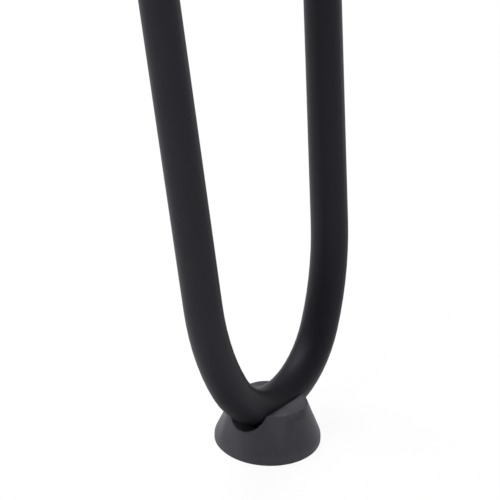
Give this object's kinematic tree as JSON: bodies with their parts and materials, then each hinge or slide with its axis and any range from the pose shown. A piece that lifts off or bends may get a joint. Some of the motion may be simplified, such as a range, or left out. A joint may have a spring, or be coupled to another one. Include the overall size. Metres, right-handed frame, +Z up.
{
  "type": "hairpin table leg",
  "caption": "Splayed hairpin table leg: a round black steel rod bent double, seated in a conical rubber foot and welded under a drilled mounting plate.",
  "frame": {"origin": "middle of the foot's underside, on the floor", "axes": "+Z up; X along the line between the two rods, the left rod at -X; +Y the way the leg leans as it rises, towards the middle of the table"},
  "size_m": [0.1396, 0.1297, 0.406],
  "materials": {
    "coated_steel": "matte black powder coat",
    "foot_rubber": "moulded matte dark grey rubber"
  },
  "bodies": {
    "root": {"hairpin_rod": "coated_steel", "rubber_foot": "foot_rubber", "mounting_plate": "coated_steel", "weld_bead_left": "coated_steel", "weld_bead_right": "coated_steel"}
  },
  "joints": []
}
